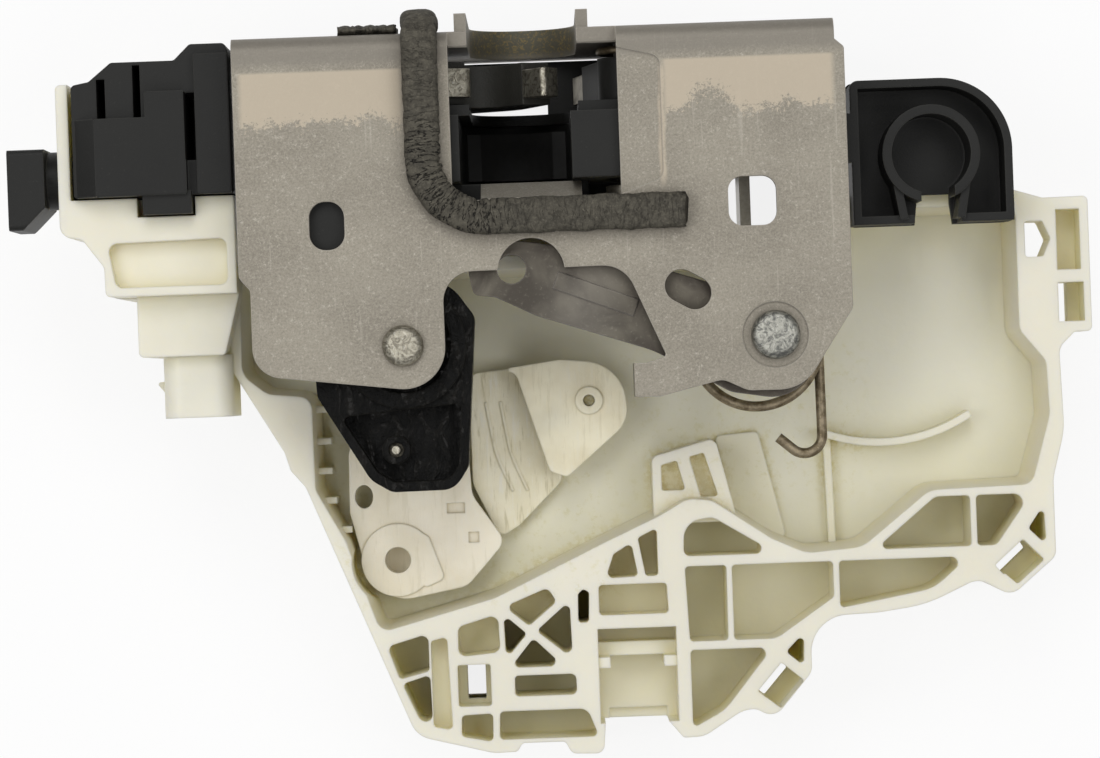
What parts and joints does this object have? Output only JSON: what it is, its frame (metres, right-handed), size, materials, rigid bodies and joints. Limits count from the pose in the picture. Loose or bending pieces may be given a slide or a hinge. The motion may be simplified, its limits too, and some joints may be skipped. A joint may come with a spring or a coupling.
{
  "type": "door latch actuator",
  "caption": "Vehicle side-door latch: folded steel frame with striker mouth, claw and pawl, ribbed housing with lock and release levers, cable holder and connector.",
  "frame": {"origin": "on the flat rear cover, behind the middle of the latch", "axes": "+X along the long side towards the cable holder, +Y towards the shut face with the striker mouth, +Z from the rear cover to the steel face"},
  "size_m": [0.2006, 0.1378, 0.0646],
  "materials": {
    "frame_steel": "worn mottled sheet",
    "zinc_steel": "bright zinc",
    "spring_steel": "dark drawn wire",
    "lever_steel": "blue-grey passivated",
    "ivory_plastic": "satin moulded",
    "clear_plastic": "milky moulded",
    "black_plastic": "satin moulded",
    "greased_plastic": "greased",
    "foam": "closed-cell foam",
    "bumper_rubber": "soft",
    "board": "board",
    "gear_plastic": "acetal"
  },
  "bodies": {
    "latch": {"frame_plate": "frame_steel", "back_plate": "zinc_steel", "latch_housing": "black_plastic", "striker_bumper": "bumper_rubber", "claw_pin": "zinc_steel", "claw_spring": "spring_steel", "pawl_spring": "spring_steel", "lock_rivet": "zinc_steel", "release_rivet": "zinc_steel", "release_spring": "spring_steel", "motor_can": "zinc_steel", "motor_end_cap": "black_plastic", "main_housing": "ivory_plastic", "rear_cover": "ivory_plastic", "cover_screws": "zinc_steel", "switch_housing": "black_plastic", "connector_pins": "zinc_steel", "circuit_carrier": "board", "cable_holder": "black_plastic", "mouth_seal": "foam", "shut_face_seal": "foam", "position_switch": "black_plastic"},
    "claw": {"claw_core": "zinc_steel", "claw_jacket": "black_plastic"},
    "pawl": {"pawl_core": "zinc_steel", "pawl_jacket": "black_plastic", "pawl_lever": "zinc_steel", "pawl_shaft": "zinc_steel"},
    "release": {"release_lever": "lever_steel"},
    "coupling": {"coupling_lever": "greased_plastic", "coupling_pin": "zinc_steel"},
    "lock": {"lock_lever": "clear_plastic", "lock_gear": "gear_plastic"},
    "worm_drive": {"worm": "gear_plastic", "motor_shaft": "zinc_steel"},
    "inside_release": {"inside_lever": "clear_plastic"},
    "inside_link": {"link_plate": "clear_plastic"},
    "key": {"key_lever": "black_plastic"}
  },
  "joints": [
    {"name": "claw_turn", "type": "hinge", "parent": "latch", "child": "claw", "pos_m": [-0.0275, 0.055, 0.027], "axis": [0, 1, 0], "range_deg": [0, 55], "stiffness_Nm_per_rad": 0.02, "springref_deg": -20.05},
    {"name": "pawl_turn", "type": "hinge", "parent": "latch", "child": "pawl", "pos_m": [0.017, 0.055, 0.042], "axis": [0, 1, 0], "range_deg": [-8, 10]},
    {"name": "release_turn", "type": "hinge", "parent": "latch", "child": "release", "pos_m": [0.0413, 0.0066, 0.0558], "axis": [0, 0, 1], "range_deg": [-5, 0], "stiffness_Nm_per_rad": 0.05, "springref_deg": 2.86},
    {"name": "lock_turn", "type": "hinge", "parent": "latch", "child": "lock", "pos_m": [-0.03, -0.0332, 0.026], "axis": [0, 0, 1], "range_deg": [-10, 0]},
    {"name": "coupling_turn", "type": "hinge", "parent": "latch", "child": "coupling", "pos_m": [-0.0265, 0.007, 0.05], "axis": [0, 0, 1], "range_deg": [0, 11.3]},
    {"name": "worm_turn", "type": "hinge", "parent": "latch", "child": "worm_drive", "pos_m": [-0.03, -0.0137, 0.01], "axis": [1, 0, 0], "range_deg": [-330, 0]},
    {"name": "inside_turn", "type": "hinge", "parent": "latch", "child": "inside_release", "pos_m": [0.0072, -0.0043, 0.029], "axis": [0, 0, 1], "range_deg": [-8, 8]},
    {"name": "link_slide", "type": "slide", "parent": "latch", "child": "inside_link", "axis": [0.411, -0.9116, 0], "range_m": [-0.00125, 0.00125]},
    {"name": "key_turn", "type": "hinge", "parent": "latch", "child": "key", "pos_m": [-0.092, 0.0402, 0.04], "axis": [1, 0, 0], "range_deg": [-30, 30]}
  ],
  "couplings": [
    {"joint": "coupling_turn", "follows": "lock_turn", "ratio": -1.12},
    {"joint": "worm_turn", "follows": "lock_turn", "ratio": 32},
    {"joint": "inside_turn", "follows": "link_slide", "rad_per_m": 111.16}
  ]
}
